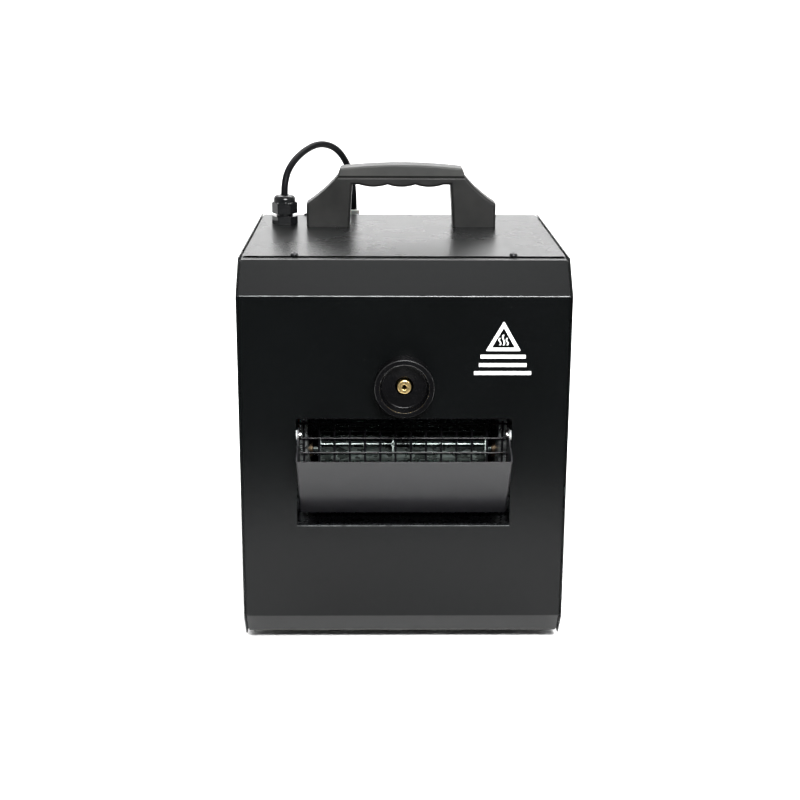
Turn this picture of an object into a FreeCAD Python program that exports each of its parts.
import FreeCAD, Part
import math
import os
import re
import Sketcher
from FreeCAD import Placement, Rotation, Vector

# A theatrical fog machine: a black sheet-steel cabinet with a heated nozzle, a cross-flow blower
# behind a tilting deflector, a carrying handle and a fluid tank in an open bay at the rear.
# Frame: X to the right, Y into the cabinet (the front faces -Y), Z up from the floor, and the
# origin on the floor midway between the two sides and midway between the deflector and the rear.

os.makedirs("parts", exist_ok=True)
doc = FreeCAD.newDocument("FogMachine")

# ---- driving dimensions, in millimetres and degrees -------------------------------------------

SIZES = {
    # cabinet
    "wrap_width": 288.0,  # width of the bent front panel
    "side_gap": 1.55,  # open joint between the front panel and a side panel
    "sheet": 1.2,  # steel thickness
    "bend": 2.4,  # outside radius of a fold
    "side_proud": 2.0,  # how far a side panel's edge stands out from the folded panels
    "base_height": 10.0,  # underside of the base above the floor
    "case_height": 360.7,  # top of the folded front panel above the floor
    "case_depth": 428.0,  # front panel to the rear of the base
    "cabinet_depth": 297.6,  # front panel to the rear edge of the top panel
    "cheek_height": 236.0,  # height of a side panel at its rear edge
    "side_flange": 12.0,  # width of a side panel's folded rim
    "rim_room": 0.4,  # clearance of that rim inside the folded panels, so that it clears their bends
    "top_chamfer_deep": 28.2,
    "top_chamfer_high": 27.2,
    "low_chamfer_deep": 16.5,
    "low_chamfer_high": 22.6,
    "top_return": 22.0,  # front panel's flange under the top panel
    "low_return": 14.0,  # front panel's flange ahead of the base pan
    "top_lap": 11.5,  # chamfer to the front edge of the top panel
    "rear_lip": 30.0,  # upturned edge at the rear of the base pan
    "fold_width": 14.0,  # flanges of the rear panel and lip of the top panel
    "seam": 0.3,  # clearance between sheets that meet edge to edge
    # screws
    "screw_radius": 2.0,
    "screw_head": 3.7,
    "screw_crown": 2.2,
    "socket_radius": 1.3,
    "socket_deep": 1.2,
    "hole_room": 0.1,  # radial clearance of a screw hole
    "panel_screw_long": 8.0,
    "top_screw_side": 98.0,
    "top_screw_inset": 5.0,  # top panel edge to the screws
    "rim_screw_inset": 6.0,
    "side_screw_low": 60.0,
    "side_screw_pitch": 120.0,
    # feet
    "pad_radius": 14.0,
    "pad_side": 112.0,
    "pad_front": 52.0,
    "pad_rear": 44.0,
    "pad_recess": 5.5,
    # handle
    "handle_long": 190.0,
    "handle_deep": 30.0,
    "handle_back": 224.0,  # front panel to the middle of the handle
    "handle_rise": 50.1,  # top panel to the joint under the grip pad
    "handle_shoulder": 23.0,  # height of the handle's upright ends
    "shoulder_run": 31.0,  # sideways run of the sloping ends
    "shoulder_sweep": 140.0,  # radius of the hollow in the sloping ends
    "finger_gap": 104.0,  # clear length between the two legs at the panel
    "finger_high": 42.0,  # clear height under the arches
    "leg_lean": 3.0,  # how far each leg leans in over the finger gap
    "lobe_drop": 2.4,  # finger lobes below the arches
    "lobe_edge": 7.0,  # flat between an outer lobe and a leg
    "handle_round": 3.0,
    "grip_taper": 3.0,  # how far the pad's ends lean in
    "grip_edge": 8.2,
    "grip_crown": 3.6,
    "grip_round": 2.0,
    "handle_screw_side": 73.0,
    "handle_screw_apart": 14.0,
    "handle_screw_deep": 12.0,
    # cable gland on the top panel
    "gland_side": 118.0,
    "gland_back": 229.0,
    "gland_across": 22.5,  # across the flats of the hexagons
    "gland_base": 8.2,
    "gland_neck": 2.8,
    "gland_neck_radius": 8.4,
    "gland_nut": 11.5,
    "gland_dome": 7.0,
    "gland_dome_radius": 11.2,
    "gland_crown": 4.8,  # rounding of the dome
    "gland_thread_radius": 8.0,
    "gland_thread_long": 11.0,
    "gland_bore": 5.6,
    "gland_seal_long": 5.5,
    "gland_seal_wall": 1.2,
    "gland_grip": 3.0,  # neck inside the cap nut
    "locknut_thick": 5.0,
    # hose
    "hose_radius": 3.5,
    "hose_room": 0.05,
    # nozzle
    "nozzle_height": 254.5,
    "bezel_radius": 26.2,
    "bezel_deep": 18.0,
    "bezel_mouth": 21.6,
    "bezel_floor": 7.0,
    "bezel_floor_radius": 19.4,
    "bezel_bore": 8.0,
    "bezel_round": 0.8,
    "bezel_lip": 0.6,  # rounding of the mouth's edge
    "bezel_tail": 4.0,  # bezel behind the front panel's face
    "panel_hole": 22.0,
    "nozzle_radius": 6.1,
    "nozzle_stand": 11.0,
    "nozzle_bore": 2.0,
    "nozzle_tail": 8.0,  # nozzle behind the front panel's face
    "nozzle_step": 0.8,
    "nozzle_collar": 5.0,
    "nozzle_edge": 1.0,
    "pipe_radius": 4.0,
    # outlet and guard
    "outlet_width": 192.8,
    "outlet_low": 121.0,
    "outlet_high": 222.8,
    "guard_room": 0.7,  # guard to the deflector at the end of its swing
    "guard_pitch": 14.0,
    "guard_edge": 4.0,  # outlet's edge to the first wire
    "wire_radius": 1.0,
    # air deflector
    "flap_tilt": 36.7,
    "flap_overswing": 5.0,  # travel past its resting tilt
    "flap_room": 1.4,  # deflector to each side of the outlet
    "flap_offset": 38.0,  # pivot axis to the outside of the face plate
    "flap_above": 11.0,
    "flap_below": 68.0,
    "flap_fold": 8.0,
    "flap_ear": 8.5,
    "flap_top": 6.0,  # width of the ears' top edge
    "pivot_depth": 5.5,
    "pivot_height": 205.5,
    "pivot_radius": 2.5,
    "pivot_room": 0.05,
    "pivot_head": 4.6,
    "pivot_head_high": 2.4,
    "pivot_edge": 1.0,
    "washer_play": 0.1,
    # blower
    "blower_back": 78.0,
    "blower_height": 170.0,
    "rotor_radius": 34.0,
    "rotor_disc": 1.6,
    "rotor_disc_off": 10.0,  # middle disc to the left of the blower's middle
    "blade_count": 28,
    "blade_deep": 8.0,
    "blade_thick": 0.9,
    "shaft_radius": 3.0,
    "shaft_tail": 8.0,  # shaft beyond the left end plate
    "shaft_drive": 24.0,  # shaft beyond the right end plate, into the motor
    "shaft_room": 0.05,
    "scroll_room": 8.0,  # rotor to the scroll
    "scroll_end": 50.0,  # angle above the axle where the scroll stops
    "tongue_gap": 12.0,  # axle to the rear edge of the tongue
    "mouth_room": 1.2,  # guard to the blower's front edge
    "end_inset": 8.4,  # outlet's side to the inside of an end plate
    "end_room": 10.0,  # end plate to the rotor
    "end_lip": 7.0,
    "lid_room": 0.5,  # scroll to the tongue
    "end_tail": 8.0,  # scroll to the rear edge of an end plate
    "bearing_radius": 8.0,
    "bearing_long": 8.0,
    "motor_radius": 27.0,
    "motor_long": 42.0,
    "motor_edge": 4.0,
    "fit": 0.05,  # radial clearance of parts that are pressed together
    # heater
    "heater_front": 64.0,
    "heater_long": 168.0,
    "heater_half": 31.0,
    "wool": 8.0,
    "rod_radius": 5.0,
    "rod_side": 16.0,
    "rod_tail": 12.0,
    "rod_start": 12.0,
    "rod_drop": 15.0,  # nozzle's height to the rods
    "rod_pin": 1.5,
    "stat_radius": 8.0,
    "stat_thick": 6.0,
    "stat_stem": 5.0,
    "stat_long": 10.0,
    "stat_rise": 16.0,
    "bracket_gap": 100.0,
    "bracket_front": 84.0,
    "bracket_flange": 16.0,
    "bracket_width": 64.0,
    # pump
    "pump_side": 85.0,
    "pump_back": 202.0,
    "pump_height": 54.0,
    "pump_radius": 9.0,
    "pump_long": 84.0,
    "coil_half": 21.0,
    "coil_long": 36.0,
    "nipple_radius": 3.0,
    "nipple_long": 8.0,
    "mount_radius": 7.0,
    "tube_radius": 2.0,
    # electronics
    "board_thick": 1.6,
    "board_left": 48.0,
    "board_right": 128.0,
    "board_front": 150.0,
    "board_back": 282.0,
    "standoff": 12.0,
    "standoff_radius": 3.0,
    "post_inset": 6.0,
    "transformer_wide": 42.0,
    "transformer_deep": 36.0,
    "transformer_high": 34.0,
    "terminal_deep": 12.0,
    "terminal_high": 14.0,
    "capacitor_radius": 6.0,
    "capacitor_high": 20.0,
    "capacitor_pitch": 18.0,
    "part_inset": 10.0,  # edge of the power board to its parts
    "card_margin": 15.0,  # circuit card beyond its buttons and display
    "panel_middle": 78.0,  # middle of the controls on the rear panel
    "display_height": 300.0,
    "display_wide": 58.0,
    "display_high": 18.0,
    "display_proud": 0.8,
    "button_height": 268.0,
    "button_pitch": 19.0,
    "button_radius": 4.5,
    "button_proud": 2.6,
    "button_room": 0.1,
    "button_tail": 3.8,
    "button_rim": 1.5,
    "button_edge": 0.8,
    "socket_height": 214.0,
    "socket_pitch": 42.0,
    "socket_wide": 26.0,
    "socket_tall": 31.0,
    "socket_barrel": 11.5,
    "socket_bore_radius": 8.6,
    "socket_plate": 2.4,
    "barrel_deep": 20.0,
    "barrel_bore": 12.0,
    "inlet_height": 150.0,
    "inlet_wide": 48.0,
    "inlet_tall": 24.0,
    "inlet_body_wide": 28.0,
    "inlet_body_tall": 20.0,
    "inlet_plate": 3.0,
    "inlet_deep": 24.0,
    "inlet_wall": 2.0,
    "inlet_hollow": 14.0,
    "pin_side": 7.0,
    "pin_step": 2.0,
    "pin_thick": 2.0,
    "pin_tall": 4.0,
    "fuse_side": 42.0,
    "fuse_radius": 7.0,
    "fuse_deep": 26.0,
    "fuse_plate": 3.0,
    "fuse_proud": 7.0,
    "fuse_step": 1.0,
    "switch_height": 104.0,
    "switch_wide": 30.0,
    "switch_tall": 22.0,
    "switch_lip": 2.0,
    "switch_plate": 2.0,
    "switch_deep": 22.0,
    "switch_hollow": 12.0,
    "rocker_wide": 22.0,
    "rocker_tall": 13.0,
    "rocker_tip": 10.0,  # tilt of the rocker to each side
    "rocker_axis": 3.0,  # rear panel's face to the rocker's pin
    "rocker_pin": 1.5,
    "rocker_room": 0.5,
    "rocker_end": 0.7,
    "rocker_crest": 3.2,
    "rocker_skirt": 2.0,
    "rocker_keel": 6.5,
    "rocker_keel_half": 3.5,
    # tank
    "tank_left": 128.0,
    "tank_right": 2.0,
    "tank_room": 7.0,  # tank to the rear panel and to the rear lip
    "tank_top": 318.0,
    "tank_wall": 2.5,
    "tank_round": 14.0,
    "tray_high": 46.0,
    "collar_side": 49.8,
    "collar_back": 329.8,
    "collar_radius": 6.3,
    "collar_proud": 0.6,  # collar's top above the top panel
    "collar_flange": 3.0,
    "collar_foot": 5.0,
    "collar_step": 2.0,
    "collar_edge": 1.0,
    "dip_room": 10.0,  # dip tube's end above the tank's floor
    "cap_side": 62.0,
    "cap_back": 384.0,
    "cap_radius": 21.0,
    "cap_high": 17.0,
    "cap_lift": 2.0,  # cap's skirt above the tank
    "cap_edge": 3.0,
    "neck_radius": 16.0,
    "neck_high": 12.0,
    "neck_bore": 12.5,
    "seal_thick": 1.5,
    "cap_room": 0.3,
}

sheet_of_sizes = doc.addObject("Spreadsheet::Sheet", "Sizes")
for row, (alias, size) in enumerate(SIZES.items(), 1):
    sheet_of_sizes.set(f"A{row}", str(size))
    sheet_of_sizes.setAlias(f"A{row}", alias)
doc.recompute()

# Places that many pieces share, written as expressions of the sizes above.
REACH = "(flap_offset * cos(flap_tilt) + flap_above * sin(flap_tilt) - pivot_depth)"
FRONT = f"(({REACH} - case_depth) / 2)"
BACK = f"({FRONT} + cabinet_depth - sheet)"
REAR = f"({FRONT} + case_depth)"
WRAP = "(wrap_width / 2)"
INNER = "(wrap_width / 2 + side_gap)"
TOP = "(case_height + sheet)"
PAN = "(base_height + sheet)"
COLLAR_TOP = f"({TOP} + collar_proud)"
FLAP = "(outlet_width - 2 * flap_room)"
SWING = "(flap_tilt + flap_overswing)"
FLAP_REACH = f"(flap_below * sin({SWING}) - (flap_offset - flap_fold) * cos({SWING}))"
GUARD = f"({FRONT} + pivot_depth + {FLAP_REACH} + wire_radius + guard_room)"
MOUTH = f"({GUARD} + 2.8 * wire_radius + mouth_room)"
AXLE = f"({FRONT} + blower_back)"
SCROLL = "(rotor_radius + scroll_room)"
BLOWER_TOP = f"(blower_height + {SCROLL} + lid_room)"

# ---- ways of making a piece --------------------------------------------------------------------

ALIAS = re.compile(r"\b(" + "|".join(SIZES) + r")\b")
TURNS = {
    "+X": Rotation(Vector(0, 1, 0), 90),
    "-X": Rotation(Vector(0, 1, 0), -90),
    "+Y": Rotation(Vector(1, 0, 0), -90),
    "-Y": Rotation(Vector(1, 0, 0), 90),
    "+Z": Rotation(),
    "-Z": Rotation(Vector(1, 0, 0), 180),
}
pieces = []


def bound(text):
    return ALIAS.sub(r"Sizes.\1", str(text))


def value(text):
    return float(sheet_of_sizes.evalExpression(bound(text)))


def bind(thing, name, text):
    thing.setExpression(name, bound(text))


def place(thing, at, facing="+Z"):
    """Puts a piece's own origin at a point, with its own Z axis along the facing."""
    thing.Placement = Placement(Vector(), TURNS[facing])
    for axis, text in zip("xyz", at):
        bind(thing, f"Placement.Base.{axis}", text)
    return thing


def keep(thing):
    """Marks a finished sub-part, which is written to a file under its label."""
    pieces.append(thing)
    return thing


def box(label, x, y, z):
    """A block between two bounds along each axis."""
    block = doc.addObject("Part::Box", label)
    for side, (low, high) in zip(("Length", "Width", "Height"), (x, y, z)):
        bind(block, side, f"({high}) - ({low})")
    return place(block, (x[0], y[0], z[0]))


def rod(label, radius, length, at, facing="+Z"):
    cylinder = doc.addObject("Part::Cylinder", label)
    bind(cylinder, "Radius", radius)
    bind(cylinder, "Height", length)
    return place(cylinder, at, facing)


def hexagon(label, across, length, at, facing="+Z"):
    prism = doc.addObject("Part::Prism", label)
    prism.Polygon = 6
    bind(prism, "Circumradius", f"({across}) / (2 * cos(30))")
    bind(prism, "Height", length)
    return place(prism, at, facing)


def group(label, things):
    """Separate solids of one kind, kept together."""
    together = doc.addObject("Part::Compound", label)
    together.Links = list(things)
    return together


def fuse(label, *things):
    whole = doc.addObject("Part::MultiFuse", label)
    whole.Shapes = list(things)
    return whole


def cut(label, base, *tools):
    rest = doc.addObject("Part::Cut", label)
    rest.Base = base
    rest.Tool = tools[0] if len(tools) == 1 else fuse(f"{label}_tools", *tools)
    return rest


def arc_between(start, end, radius):
    """The short arc from start to end; a positive radius bulges to the right of the way."""
    chord = end - start
    sagitta = abs(radius) - math.sqrt(radius**2 - (chord.Length / 2) ** 2)
    side = Vector(chord.y, -chord.x, 0).normalize() * math.copysign(sagitta, radius)
    return Part.Arc(start, (start + end) / 2 + side, end)


def draw(sketch, path, closed=True):
    """Lines and arcs through the path's points, each coordinate bound to the sizes. A point's third
    item is the radius of the arc that arrives there."""
    points = [Vector(value(step[0]), value(step[1]), 0) for step in path]
    runs = len(path) if closed else len(path) - 1
    starts, ends = [], []
    for i in range(runs):
        start, end = points[i], points[(i + 1) % len(path)]
        step = path[(i + 1) % len(path)]
        if len(step) == 3:
            radius = value(step[2])
            edge = sketch.addGeometry(arc_between(start, end, radius), False)
            text = str(step[2]).lstrip("-")
            lock = sketch.addConstraint(Sketcher.Constraint("Radius", edge, abs(radius)))
            bind(sketch, f"Constraints[{lock}]", text)
        else:
            edge = sketch.addGeometry(Part.LineSegment(start, end), False)
        first = 1 if sketch.getPoint(edge, 1).distanceToPoint(start) < 1e-6 else 2
        starts.append((edge, first))
        ends.append((edge, 3 - first))
    for i in range(runs if closed else runs - 1):
        sketch.addConstraint(Sketcher.Constraint("Coincident", *ends[i], *starts[(i + 1) % runs]))
    spots = starts if closed else starts + ends[-1:]
    for (edge, end), point, step in zip(spots, points, path):
        for kind, number, text in (("DistanceX", point.x, step[0]), ("DistanceY", point.y, step[1])):
            lock = sketch.addConstraint(Sketcher.Constraint(kind, edge, end, number))
            bind(sketch, f"Constraints[{lock}]", text)


def body_sketch(body, plane, name):
    """A sketch on one of a body's own origin planes."""
    sketch = body.newObject("Sketcher::SketchObject", f"{body.Name}_{name}")
    origin = next(o for o in body.Origin.OriginFeatures if o.Role == f"{plane}_Plane")
    sketch.AttachmentSupport = [(origin, "")]
    sketch.MapMode = "FlatFace"
    return sketch


def prism(label, plane, path, length):
    """A body padded to both sides of its sketch. YZ paths run along X, XZ along Y and XY along Z."""
    body = doc.addObject("PartDesign::Body", label)
    sketch = body_sketch(body, plane, "outline")
    draw(sketch, path)
    pad = body.newObject("PartDesign::Pad", f"{label}_pad")
    pad.Profile = sketch
    pad.SideType = "Symmetric"
    bind(pad, "Length", length)
    doc.recompute()
    return body


def turned(label, path, at, facing="+Z"):
    """A body turned about its own Z axis; the path gives radius and height."""
    body = doc.addObject("PartDesign::Body", label)
    sketch = body_sketch(body, "XZ", "outline")
    draw(sketch, path)
    turn = body.newObject("PartDesign::Revolution", f"{label}_turn")
    turn.Profile = sketch
    turn.ReferenceAxis = (sketch, ["V_Axis"])
    turn.Angle = 360
    return place(body, at, facing)


def rounded(body, radius, chosen):
    """Rounds the edges of a body's last feature that chosen(edge) accepts."""
    last = body.Tip
    fillet = body.newObject("PartDesign::Fillet", f"{body.Name}_round")
    names = [f"Edge{n}" for n, edge in enumerate(last.Shape.Edges, 1) if chosen(edge)]
    fillet.Base = (last, names)
    bind(fillet, "Radius", radius)
    doc.recompute()
    return body


def shelled(body, thickness, opened):
    """Hollows a body inwards, leaving out the faces that opened(face) accepts."""
    last = body.Tip
    shell = body.newObject("PartDesign::Thickness", f"{body.Name}_shell")
    names = [f"Face{n}" for n, face in enumerate(last.Shape.Faces, 1) if opened(face)]
    shell.Base = (last, names)
    shell.Reversed = True
    bind(shell, "Value", thickness)
    doc.recompute()
    return body


def runs_along(edge, axis):
    way = edge.valueAt(edge.LastParameter) - edge.valueAt(edge.FirstParameter)
    return way.Length > 0.1 and abs(abs(way.normalize().dot(axis)) - 1) < 1e-4


def faces_along(face, axis):
    return isinstance(face.Surface, Part.Plane) and abs(abs(face.normalAt(0, 0).dot(axis)) - 1) < 1e-4


def folded(label, path, width):
    """Sheet folded along X: the path is its outside from one edge to the other, in Y and Z."""
    body = prism(label, "YZ", path, width)
    corners = [Vector(0, value(step[0]), value(step[1])) for step in path]
    closing = (corners[0] - corners[-1]).normalize()

    def is_fold(edge):
        middle = edge.valueAt((edge.FirstParameter + edge.LastParameter) / 2)
        middle.x = 0
        return runs_along(edge, Vector(1, 0, 0)) and any(
            middle.distanceToPoint(corner) < 1e-4 for corner in corners[1:-1]
        )

    def is_open(face):
        off = face.CenterOfMass - corners[-1]
        off.x = 0
        return faces_along(face, Vector(1, 0, 0)) or off.cross(closing).Length < 1e-4

    rounded(body, "bend", is_fold)
    return shelled(body, "sheet", is_open)


def strip(label, path, width, thickness):
    """Thin stock of even thickness along an open path in Y and Z, extruded to both sides in X."""
    line = doc.addObject("Sketcher::SketchObject", f"{label}_line")
    line.Placement = Placement(Vector(), Rotation(Vector(1, 1, 1), 120))
    draw(line, path, closed=False)
    band = doc.addObject("Part::Offset2D", f"{label}_band")
    band.Source = line
    band.Fill = True
    bind(band, "Value", thickness)
    return extruded(label, band, width, symmetric=True)


def extruded(label, base, length, symmetric=False):
    solid = doc.addObject("Part::Extrusion", label)
    solid.Base = base
    solid.DirMode = "Custom"
    solid.Dir = Vector(1, 0, 0)
    solid.Solid = True
    solid.Symmetric = symmetric
    bind(solid, "LengthFwd", length)
    return solid


def screw(label, at, facing, shank="panel_screw_long"):
    """A socket screw seated at a point, with its crown on the side that it faces."""
    crown = [
        (0, f"-({shank})"),
        ("screw_radius", f"-({shank})"),
        ("screw_radius", 0),
        ("screw_head", 0),
        ("screw_head", "screw_crown * 0.4"),
        ("socket_radius", "screw_crown", "screw_head"),
        ("socket_radius", "screw_crown - socket_deep"),
        (0, "screw_crown - socket_deep"),
    ]
    return turned(label, crown, at, facing)


def screws(label, spots, facing, shank="panel_screw_long"):
    made = [screw(f"{label}_{n}", spot, facing, shank) for n, spot in enumerate(spots, 1)]
    return keep(group(label, made))


def screw_holes(label, spots, facing, length="panel_screw_long"):
    """Clearance holes that run both ways from the seats of the screws."""
    holes = []
    for n, spot in enumerate(spots, 1):
        axis = "XYZ".index(facing[1])
        start = list(spot)
        start[axis] = f"({spot[axis]}) - ({facing[0]}1) * ({length})"
        room = "screw_radius + hole_room"
        holes.append(rod(f"{label}_hole_{n}", room, f"2 * ({length})", start, facing))
    return holes


def tube(label, points, radius):
    """Round stock along straight runs joined by tangent arcs as large as the runs allow."""
    corners = [Vector(*point) for point in points]
    edges, last, radii = [], corners[0], []
    for before, corner, after in zip(corners, corners[1:], corners[2:]):
        arriving, leaving = corner - before, after - corner
        turn = arriving.getAngle(leaving)
        reach = 0.45 * min(arriving.Length, leaving.Length)
        start = corner - arriving.normalize() * reach
        end = corner + leaving.normalize() * reach
        arc_radius = reach / math.tan(turn / 2)
        bisector = ((start + end) / 2 - corner).normalize()
        centre = corner + bisector * math.hypot(reach, arc_radius)
        middle = centre - bisector * arc_radius
        edges += [Part.LineSegment(last, start).toShape(), Part.Arc(start, middle, end).toShape()]
        radii.append(arc_radius)
        last = end
    edges.append(Part.LineSegment(last, corners[-1]).toShape())
    path = Part.Wire(edges)
    way = corners[1] - corners[0]
    circle = Part.Wire(Part.Circle(corners[0], way, radius).toShape())
    solid = path.makePipeShell([circle], True, False)
    expected = math.pi * radius**2 * path.Length
    if abs(solid.Volume / expected - 1) > 0.01:
        raise ValueError(f"{label}: volume {solid.Volume:.1f} where {expected:.1f} is expected")
    print(f"{label}: length {path.Length:.1f}, radii", " ".join(f"{r:.1f}" for r in radii))
    made = doc.addObject("Part::Feature", label)
    made.Shape = solid
    return keep(made)


def both_sides(x, *rest):
    """A spot and its mirror image on the other side of the machine."""
    return [(x, *rest), (f"-({x})", *rest)]


# ---- cabinet -----------------------------------------------------------------------------------

TOP_EDGE = f"({FRONT} + top_chamfer_deep + top_lap)"
TOP_SCREWS = both_sides("top_screw_side", f"{TOP_EDGE} + top_screw_inset", TOP)
TOP_SCREWS += both_sides("top_screw_side", f"{BACK} - fold_width / 2", TOP)
RIM_SIDE = f"({INNER} - rim_screw_inset)"
RIM_SCREWS = both_sides(RIM_SIDE, f"{FRONT} + low_chamfer_deep + low_return / 2", "base_height")
RIM_SCREWS += both_sides(RIM_SIDE, f"{BACK} - 60", "base_height")
RIM_SCREWS += both_sides(RIM_SIDE, f"{REAR} - 30", "base_height")
FOOT_SPOTS = both_sides("pad_side", f"{FRONT} + pad_front", "pad_recess")
FOOT_SPOTS += both_sides("pad_side", f"{REAR} - pad_rear", "pad_recess")
SIDE_FACE = f"({INNER} + sheet)"
SIDE_SCREW_HEIGHTS = [f"side_screw_low + {n} * side_screw_pitch" for n in range(3)]
HANDLE_SCREWS = []
for sign in "+-":
    way = f"{FRONT} + handle_back {sign} handle_screw_apart / 2"
    HANDLE_SCREWS += both_sides("handle_screw_side", way, "case_height")
FOOT_SHANK = "base_height + sheet - pad_recess"
HANDLE_SHANK = "sheet + handle_screw_deep"


def side_screw_spots(sign):
    """Screws through one side panel into the rear panel's flange."""
    return [(f"{sign}{SIDE_FACE}", f"{BACK} - fold_width / 2", z) for z in SIDE_SCREW_HEIGHTS]


def make_front_panel():
    """One sheet: lower flange, lower chamfer, front, upper chamfer and upper flange. The outlet's
    sides are folded in to carry the deflector and the guard."""
    skin = folded(
        "front_skin",
        [
            (f"{FRONT} + top_chamfer_deep + top_return", "case_height"),
            (f"{FRONT} + top_chamfer_deep", "case_height"),
            (FRONT, "case_height - top_chamfer_high"),
            (FRONT, "base_height + low_chamfer_high"),
            (f"{FRONT} + low_chamfer_deep", "base_height"),
            (f"{FRONT} + low_chamfer_deep + low_return", "base_height"),
        ],
        "wrap_width",
    )
    opening = box(
        "outlet_opening",
        ("-outlet_width / 2", "outlet_width / 2"),
        (f"{FRONT} - sheet", f"{FRONT} + 2 * sheet"),
        ("outlet_low", "outlet_high"),
    )
    nozzle_hole = rod("nozzle_hole", "panel_hole", "4 * sheet",
                      (0, f"{FRONT} - 2 * sheet", "nozzle_height"), "+Y")
    opened = cut(
        "front_opened", skin, opening, nozzle_hole,
        *screw_holes("front_top", TOP_SCREWS[:2], "+Z"),
        *screw_holes("front_rim", RIM_SCREWS[:2], "+Z"),
    )
    flanges = []
    for side, inside, outside in (
        ("left", "-(outlet_width / 2 + sheet)", "-outlet_width / 2"),
        ("right", "outlet_width / 2", "outlet_width / 2 + sheet"),
    ):
        flanges.append(box(
            f"outlet_flange_{side}", (inside, outside),
            (f"{FRONT} + sheet / 2", MOUTH),
            ("outlet_low", "outlet_high"),
        ))
    pivot = rod(
        "front_pivot_hole", "pivot_radius + pivot_room", "outlet_width + 4 * sheet",
        ("-(outlet_width / 2 + 2 * sheet)", f"{FRONT} + pivot_depth", "pivot_height"), "+X",
    )
    keep(cut("front_panel", fuse("front_flanged", opened, *flanges), pivot))


def make_top_panel():
    """The lid over the cabinet, lapped on the front panel's flange, with a lip down the rear."""
    skin = folded(
        "top_skin",
        [
            (TOP_EDGE, TOP),
            (f"{BACK} + sheet", TOP),
            (f"{BACK} + sheet", f"{TOP} - fold_width"),
        ],
        "wrap_width",
    )
    gland_hole = rod("top_gland_hole", "gland_thread_radius + hole_room", "6 * sheet",
                     ("-gland_side", f"{FRONT} + gland_back", f"{TOP} - 3 * sheet"))
    notches = []
    for side, x in (
        ("left", ("-wrap_width / 2 - 1", f"-({INNER} - side_flange - seam)")),
        ("right", (f"{INNER} - side_flange - seam", "wrap_width / 2 + 1")),
    ):
        notches.append(box(f"top_notch_{side}", x, (f"{BACK} - bend", f"{BACK} + 2 * sheet"),
                           (f"{TOP} - 2 * fold_width", "case_height")))
    keep(cut(
        "top_panel", skin, gland_hole, *notches,
        *screw_holes("top", TOP_SCREWS, "+Z"),
        *screw_holes("top_handle", HANDLE_SCREWS, "+Z"),
    ))


def make_side_panel(name, sign):
    """A flat cheek that stands proud of the folded panels, with a rim folded in behind them."""
    outline = doc.addObject("Sketcher::SketchObject", f"{name}_outline")
    outline.Placement = Placement(Vector(), Rotation(Vector(1, 1, 1), 120))
    draw(outline, [
        (f"{FRONT} + low_chamfer_deep", "base_height"),
        (FRONT, "base_height + low_chamfer_high"),
        (FRONT, "case_height - top_chamfer_high"),
        (f"{FRONT} + top_chamfer_deep", "case_height"),
        (f"{BACK} + sheet", "case_height"),
        (REAR, "cheek_height"),
        (REAR, "base_height"),
    ])
    edge = doc.addObject("Part::Offset2D", f"{name}_edge")
    edge.Source = outline
    bind(edge, "Value", "side_proud")
    cheek = extruded(f"{name}_cheek", edge, "sheet")
    place(cheek, (INNER if sign == "+" else f"-{SIDE_FACE}", 0, 0))
    rim_outside = doc.addObject("Part::Offset2D", f"{name}_rim_outside")
    rim_outside.Source = outline
    rim_outside.Join = 2
    bind(rim_outside, "Value", "-(sheet + rim_room)")
    rim_band = doc.addObject("Part::Offset2D", f"{name}_rim_band")
    rim_band.Source = rim_outside
    rim_band.Join = 2
    rim_band.Fill = True
    bind(rim_band, "Value", "-sheet")
    rim = extruded(f"{name}_rim", rim_band, "side_flange")
    place(rim, (f"{INNER} - side_flange" if sign == "+" else f"-{INNER}", 0, 0))
    spots = side_screw_spots(sign)
    rim_spots = [spot for spot in RIM_SCREWS if (spot[0][0] == "-") == (sign == "-")]
    keep(cut(
        name, fuse(f"{name}_whole", cheek, rim),
        *screw_holes(name, spots, f"{sign}X"),
        *screw_holes(f"{name}_rim", rim_spots, "+Z"),
    ))


def make_base_pan():
    """The floor of the cabinet and of the rear bay, with an upturned lip at the rear."""
    skin = folded(
        "base_skin",
        [
            (f"{FRONT} + low_chamfer_deep + low_return + seam", "base_height"),
            (REAR, "base_height"),
            (REAR, "base_height + rear_lip"),
        ],
        "wrap_width",
    )
    keep(cut(
        "base_pan", skin,
        *screw_holes("pan_rim", RIM_SCREWS[2:], "+Z"),
        *screw_holes("pan_foot", FOOT_SPOTS, "+Z"),
    ))


def make_panel_screws():
    """The identical screws of the lid, of the side panels' rims and of the side panels."""
    made = [screw(f"lid_screw_{n}", spot, "+Z") for n, spot in enumerate(TOP_SCREWS, 1)]
    made += [screw(f"rim_screw_{n}", spot, "-Z") for n, spot in enumerate(RIM_SCREWS, 1)]
    for side, sign in (("left", "-"), ("right", "+")):
        spots = side_screw_spots(sign)
        made += [screw(f"{side}_screw_{n}", spot, f"{sign}X") for n, spot in enumerate(spots, 1)]
    keep(group("panel_screws", made))


def make_feet():
    """Four rubber feet, each held by a screw from below that is sunk clear of the floor."""
    profile = [
        ("screw_radius + hole_room", "pad_recess"),
        ("screw_head + 0.8", "pad_recess"),
        ("screw_head + 0.8", 0),
        ("pad_radius - 2", 0),
        ("pad_radius", "base_height"),
        ("screw_radius + hole_room", "base_height"),
    ]
    feet = []
    for n, (x, y, _) in enumerate(FOOT_SPOTS, 1):
        feet.append(turned(f"rubber_foot_{n}", profile, (x, y, 0)))
    keep(group("rubber_feet", feet))
    screws("foot_screws", FOOT_SPOTS, "-Z", FOOT_SHANK)


# ---- rear panel and its controls ----------------------------------------------------------------

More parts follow.
